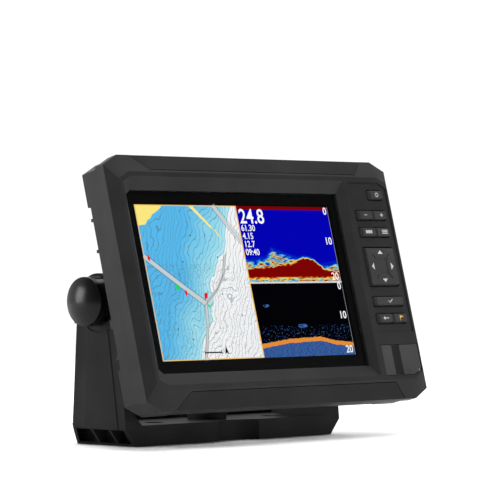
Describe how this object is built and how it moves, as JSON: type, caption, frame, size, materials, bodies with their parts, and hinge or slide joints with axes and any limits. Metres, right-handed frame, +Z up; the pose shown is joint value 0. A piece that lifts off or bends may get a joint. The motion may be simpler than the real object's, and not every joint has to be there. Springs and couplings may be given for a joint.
{
  "type": "chartplotter display",
  "caption": "Marine chartplotter display with a glass screen, a keypad column and a card door, on a quick-release cradle in a tilting bail bracket.",
  "frame": {"origin": "centre of the bail's underside, on the surface that it stands on", "axes": "+Z up, +X to the right of the screen, the screen facing -Y and leaning back 14.8 degrees"},
  "size_m": [0.2274, 0.0943, 0.1569],
  "materials": {
    "case_plastic": "fine-grained moulded",
    "trim_plastic": "satin",
    "key_rubber": "matt, painted legends",
    "black_rubber": "matt",
    "cover_glass": "polished",
    "lcd": "lit screen",
    "circuit_board": "solder mask",
    "aluminium": "brushed",
    "steel": "brushed"
  },
  "bodies": {
    "bail": {"bail_bracket": "case_plastic"},
    "knob_left": {"knob_left": "trim_plastic", "stud_left": "steel"},
    "knob_right": {"knob_right": "trim_plastic", "stud_right": "steel"},
    "cradle": {"cradle_frame": "case_plastic", "lever_pin": "steel", "lever_spring": "steel", "washer_left": "black_rubber", "washer_right": "black_rubber"},
    "release_lever": {"release_lever": "trim_plastic"},
    "display": {"front_bezel": "case_plastic", "top_trim": "trim_plastic", "bottom_trim": "trim_plastic", "cover_glass": "cover_glass", "glass_gasket": "black_rubber", "lcd_panel": "lcd", "lcd_tray": "aluminium", "keypad_mat": "black_rubber", "keypad_board": "circuit_board", "door_pin": "steel", "card_reader": "steel", "housing_gasket": "black_rubber", "main_board": "circuit_board", "heat_spreader": "aluminium", "rear_housing": "case_plastic", "rear_hump": "case_plastic", "power_socket": "black_rubber", "network_socket": "black_rubber", "sonar_socket": "black_rubber", "breather": "black_rubber", "housing_screw_1": "steel", "housing_screw_2": "steel", "housing_screw_3": "steel", "housing_screw_4": "steel", "housing_screw_5": "steel", "housing_screw_6": "steel"},
    "card_door": {"card_door": "case_plastic"},
    "power_key": {"power_key": "key_rubber"},
    "zoom_out_key": {"zoom_out_key": "key_rubber"},
    "zoom_in_key": {"zoom_in_key": "key_rubber"},
    "mode_key": {"mode_key": "key_rubber"},
    "menu_key": {"menu_key": "key_rubber"},
    "select_key": {"select_key": "key_rubber"},
    "back_key": {"back_key": "key_rubber"},
    "mark_key": {"mark_key": "key_rubber"},
    "pad_gimbal": {"pad_gimbal": "trim_plastic"},
    "direction_pad": {"direction_pad": "key_rubber"}
  },
  "joints": [
    {"name": "display_tilt", "type": "hinge", "parent": "bail", "child": "cradle", "pos_m": [0, -0.00354, 0.07833], "axis": [1, 0, 0], "range_deg": [-40, 15]},
    {"name": "knob_left_turn", "type": "hinge", "parent": "bail", "child": "knob_left", "pos_m": [0, -0.00354, 0.07833], "axis": [-1, 0, 0], "continuous": true},
    {"name": "knob_right_turn", "type": "hinge", "parent": "bail", "child": "knob_right", "pos_m": [0, -0.00354, 0.07833], "axis": [1, 0, 0], "continuous": true},
    {"name": "display_pull_off", "type": "slide", "parent": "cradle", "child": "display", "axis": [0, -0.9668, 0.2554], "range_m": [0, 0.05]},
    {"name": "lever_lift", "type": "hinge", "parent": "cradle", "child": "release_lever", "pos_m": [0, 0.00056, 0.11929], "axis": [-1, 0, 0], "range_deg": [0, 20], "stiffness_Nm_per_rad": 0.05, "springref_deg": -20.05},
    {"name": "card_door_swing", "type": "hinge", "parent": "display", "child": "card_door", "pos_m": [0.1063, -0.06575, 0.04486], "axis": [0, 0.2554, 0.9668], "range_deg": [0, 95]},
    {"name": "power_press", "type": "slide", "parent": "display", "child": "power_key", "axis": [0, 0.9668, -0.2554], "range_m": [0, 0.0008], "stiffness_N_per_m": 1200, "springref_m": -0.0004},
    {"name": "zoom_out_press", "type": "slide", "parent": "display", "child": "zoom_out_key", "axis": [0, 0.9668, -0.2554], "range_m": [0, 0.0008], "stiffness_N_per_m": 1200, "springref_m": -0.0004},
    {"name": "zoom_in_press", "type": "slide", "parent": "display", "child": "zoom_in_key", "axis": [0, 0.9668, -0.2554], "range_m": [0, 0.0008], "stiffness_N_per_m": 1200, "springref_m": -0.0004},
    {"name": "mode_press", "type": "slide", "parent": "display", "child": "mode_key", "axis": [0, 0.9668, -0.2554], "range_m": [0, 0.0008], "stiffness_N_per_m": 1200, "springref_m": -0.0004},
    {"name": "menu_press", "type": "slide", "parent": "display", "child": "menu_key", "axis": [0, 0.9668, -0.2554], "range_m": [0, 0.0008], "stiffness_N_per_m": 1200, "springref_m": -0.0004},
    {"name": "select_press", "type": "slide", "parent": "display", "child": "select_key", "axis": [0, 0.9668, -0.2554], "range_m": [0, 0.0008], "stiffness_N_per_m": 1200, "springref_m": -0.0004},
    {"name": "back_press", "type": "slide", "parent": "display", "child": "back_key", "axis": [0, 0.9668, -0.2554], "range_m": [0, 0.0008], "stiffness_N_per_m": 1200, "springref_m": -0.0004},
    {"name": "mark_press", "type": "slide", "parent": "display", "child": "mark_key", "axis": [0, 0.9668, -0.2554], "range_m": [0, 0.0008], "stiffness_N_per_m": 1200, "springref_m": -0.0004},
    {"name": "pad_rock_up_down", "type": "hinge", "parent": "display", "child": "pad_gimbal", "pos_m": [0.0898, -0.0482, 0.09525], "axis": [1, 0, 0], "range_deg": [-2, 2], "stiffness_Nm_per_rad": 0.5},
    {"name": "pad_rock_left_right", "type": "hinge", "parent": "pad_gimbal", "child": "direction_pad", "pos_m": [0.0898, -0.0482, 0.09525], "axis": [0, 0.2554, 0.9668], "range_deg": [-2, 2], "stiffness_Nm_per_rad": 0.5}
  ]
}
